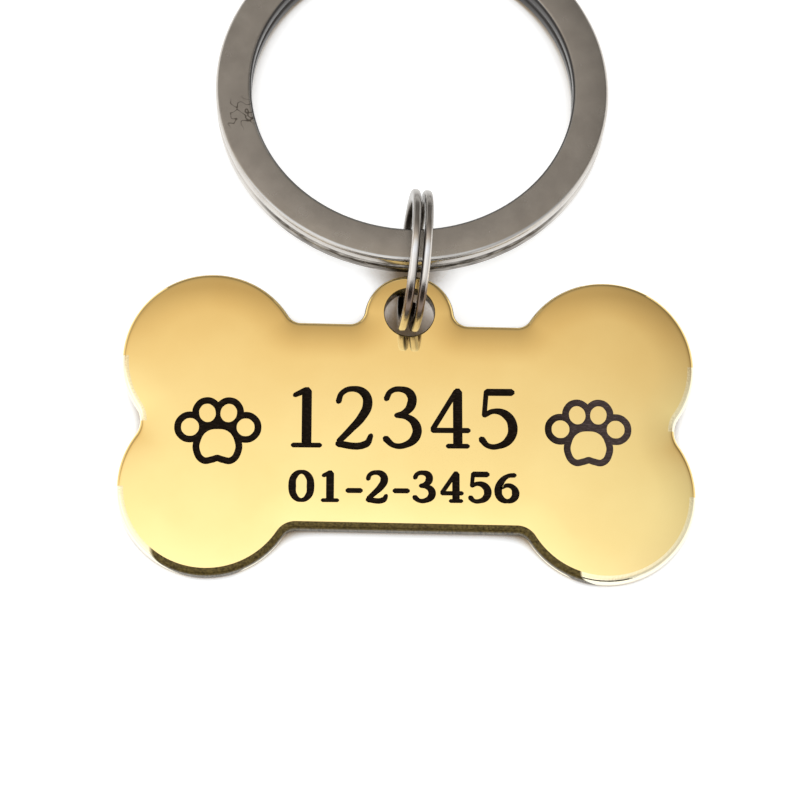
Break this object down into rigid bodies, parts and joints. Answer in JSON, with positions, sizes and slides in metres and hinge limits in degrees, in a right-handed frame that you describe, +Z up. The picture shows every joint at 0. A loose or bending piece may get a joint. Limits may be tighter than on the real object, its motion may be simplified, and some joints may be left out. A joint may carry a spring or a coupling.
{
  "type": "pet id tag",
  "caption": "Bone-shaped pet id tag in polished gold-tone metal with a lug, a small split ring through its hole and a large flat split ring, lying as set down on a table.",
  "frame": {"origin": "on the table, under the middle of the box that holds the whole object", "axes": "+Z up from the table, +Y from the bone tag towards the large ring, +X to the right along the tag"},
  "size_m": [0.05, 0.0631, 0.0125],
  "materials": {
    "tag_metal": "mirror polished",
    "ring_metal": "satin nickel with bright edges"
  },
  "bodies": {
    "tag": {"bone_tag": "tag_metal"},
    "small_ring": {"small_split_ring": "ring_metal"},
    "large_ring": {"large_split_ring": "ring_metal"}
  },
  "joints": [
    {"name": "ring_on_lug", "type": "hinge", "parent": "tag", "child": "small_ring", "pos_m": [0, -0.00492, 0.00235], "axis": [1, 0, 0], "range_deg": [-125, 5]},
    {"name": "large_ring_in_small", "type": "hinge", "parent": "small_ring", "child": "large_ring", "pos_m": [0, -0.00235, 0.00391], "axis": [1, 0, 0], "range_deg": [-40, 160]}
  ]
}
